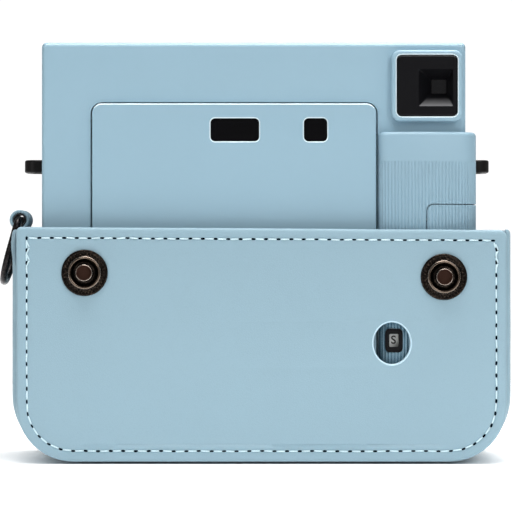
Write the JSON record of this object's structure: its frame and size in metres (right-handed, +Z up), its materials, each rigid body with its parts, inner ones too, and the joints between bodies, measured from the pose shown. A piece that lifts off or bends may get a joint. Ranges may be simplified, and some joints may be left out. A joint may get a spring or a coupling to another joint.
{
  "type": "instant camera",
  "caption": "Square-format instant film camera standing in the lower half of its stitched leather case.",
  "frame": {"origin": "on the surface that the case stands on, under the middle of the case", "axes": "+Z up, +X towards the camera's grip, +Y towards the lens side"},
  "size_m": [0.1556, 0.0639, 0.1264],
  "materials": {
    "case_leather": "satin",
    "case_lining": "matte",
    "stud_metal": "satin",
    "ring_metal": "satin",
    "body_plastic": "matte",
    "grey_plastic": "matte",
    "black_plastic": "matte",
    "lug_metal": "satin",
    "dial_plastic": "satin",
    "dark_clear": "gloss",
    "steel": "satin",
    "foam": "matte",
    "clear_glass": "gloss",
    "film_paper": "matte",
    "blade_metal": "matte",
    "lens_metal": "satin",
    "mirror": "gloss",
    "button_plastic": "satin",
    "gear_plastic": "satin",
    "brass": "satin",
    "cell_wrap": "satin",
    "board": "satin",
    "frosted_clear": "satin"
  },
  "bodies": {
    "case": {"case_back_panel": "case_leather", "case_front_panel": "case_leather", "case_gusset": "case_leather", "case_base_board": "case_lining", "case_pad": "case_lining", "snap_studs": "stud_metal", "d_ring_tab": "case_leather"},
    "camera": {"rear_cover": "body_plastic", "front_cover": "body_plastic", "exit_trim": "grey_plastic", "strap_lug_left": "lug_metal", "strap_lug_right": "lug_metal", "grip_shell": "body_plastic", "counter_window": "black_plastic", "film_door": "body_plastic", "door_windows": "dark_clear", "door_hinge_pins": "steel", "door_seal": "foam", "door_springs": "steel", "viewfinder_frame": "body_plastic", "eyepiece": "black_plastic", "eyepiece_lens": "clear_glass", "viewfinder_tube": "black_plastic", "front_windows": "dark_clear", "chassis": "black_plastic", "film_pack": "black_plastic", "film_stack": "film_paper", "light_cone": "black_plastic", "shutter_plate": "black_plastic", "lens_mount": "black_plastic", "film_motor": "steel", "roller_bracket": "steel", "battery_cells": "cell_wrap", "battery_holder": "black_plastic", "battery_contacts": "steel", "main_board": "board", "flash_capacitor": "cell_wrap", "flash_reflector": "mirror", "flash_tube": "clear_glass", "flash_lens": "frosted_clear", "cover_screws": "steel"},
    "d_ring": {"d_ring": "ring_metal"},
    "exit_flap": {"exit_flap": "black_plastic"},
    "battery_cover": {"battery_cover": "body_plastic"},
    "counter_dial": {"counter_dial": "dial_plastic"},
    "door_latch": {"door_latch": "body_plastic"},
    "pick_claw": {"pick_claw": "steel"},
    "shutter_blade_left": {"shutter_blade_left": "blade_metal"},
    "shutter_blade_right": {"shutter_blade_right": "blade_metal"},
    "lens_ring": {"lens_ring": "lens_metal"},
    "lens_barrel": {"lens_barrel": "lens_metal", "lens_glass": "clear_glass", "portrait_mirror": "mirror"},
    "shutter_button": {"shutter_button": "button_plastic"},
    "drive_roller": {"drive_roller": "steel", "drive_roller_gear": "gear_plastic"},
    "pinch_roller": {"pinch_roller": "steel", "pinch_roller_gear": "gear_plastic"},
    "idler_gear": {"idler_gear": "gear_plastic"},
    "motor_pinion": {"motor_pinion": "brass"}
  },
  "joints": [
    {"name": "camera_lift", "type": "slide", "parent": "case", "child": "camera", "axis": [0, 0, 1], "range_m": [0, 0.08]},
    {"name": "d_ring_swing", "type": "hinge", "parent": "case", "child": "d_ring", "pos_m": [-0.0738, 0, 0.0726], "axis": [0, 1, 0], "range_deg": [0, 150]},
    {"name": "exit_flap_lift", "type": "hinge", "parent": "camera", "child": "exit_flap", "pos_m": [-0.008, 0.00005, 0.126], "axis": [-1, 0, 0], "range_deg": [0, 70]},
    {"name": "battery_cover_slide", "type": "slide", "parent": "camera", "child": "battery_cover", "axis": [0, 0, -1], "range_m": [0, 0.0035]},
    {"name": "counter_dial_turn", "type": "hinge", "parent": "camera", "child": "counter_dial", "pos_m": [0.046, -0.0189, 0.0364], "axis": [0, -1, 0], "range_deg": [0, 300]},
    {"name": "door_latch_slide", "type": "slide", "parent": "camera", "child": "door_latch", "axis": [0, 0, 1], "range_m": [0, 0.003]},
    {"name": "pick_claw_slide", "type": "slide", "parent": "camera", "child": "pick_claw", "axis": [0, 0, 1], "range_m": [0, 0.008]},
    {"name": "shutter_blade_left_open", "type": "hinge", "parent": "camera", "child": "shutter_blade_left", "pos_m": [-0.0222, 0.016, 0.062], "axis": [0, 1, 0], "range_deg": [0, 80], "stiffness_Nm_per_rad": 0.0005},
    {"name": "shutter_blade_right_open", "type": "hinge", "parent": "camera", "child": "shutter_blade_right", "pos_m": [0.0058, 0.016, 0.062], "axis": [0, 1, 0], "range_deg": [0, 80]},
    {"name": "lens_ring_turn", "type": "hinge", "parent": "camera", "child": "lens_ring", "pos_m": [-0.0082, 0.027, 0.062], "axis": [0, 1, 0], "range_deg": [0, 80]},
    {"name": "lens_extend", "type": "slide", "parent": "camera", "child": "lens_barrel", "axis": [0, 1, 0], "range_m": [0, 0.01]},
    {"name": "shutter_press", "type": "slide", "parent": "camera", "child": "shutter_button", "axis": [0, -1, 0], "range_m": [0, 0.0015], "stiffness_N_per_m": 250},
    {"name": "drive_roller_spin", "type": "hinge", "parent": "camera", "child": "drive_roller", "pos_m": [-0.008, 0.002, 0.114], "axis": [1, 0, 0], "continuous": true},
    {"name": "pinch_roller_spin", "type": "hinge", "parent": "camera", "child": "pinch_roller", "pos_m": [-0.008, -0.006, 0.114], "axis": [1, 0, 0], "continuous": true},
    {"name": "idler_spin", "type": "hinge", "parent": "camera", "child": "idler_gear", "pos_m": [-0.052, 0.0114, 0.11058], "axis": [1, 0, 0], "continuous": true},
    {"name": "motor_spin", "type": "hinge", "parent": "camera", "child": "motor_pinion", "pos_m": [-0.052, 0.01296, 0.10172], "axis": [1, 0, 0], "continuous": true}
  ],
  "couplings": [
    {"joint": "pinch_roller_spin", "follows": "drive_roller_spin", "ratio": -1},
    {"joint": "idler_spin", "follows": "drive_roller_spin", "ratio": -0.66667},
    {"joint": "motor_spin", "follows": "drive_roller_spin", "ratio": 1.3333},
    {"joint": "lens_extend", "follows": "lens_ring_turn", "m_per_rad": 0.0071619},
    {"joint": "shutter_blade_right_open", "follows": "shutter_blade_left_open", "ratio": 1}
  ]
}
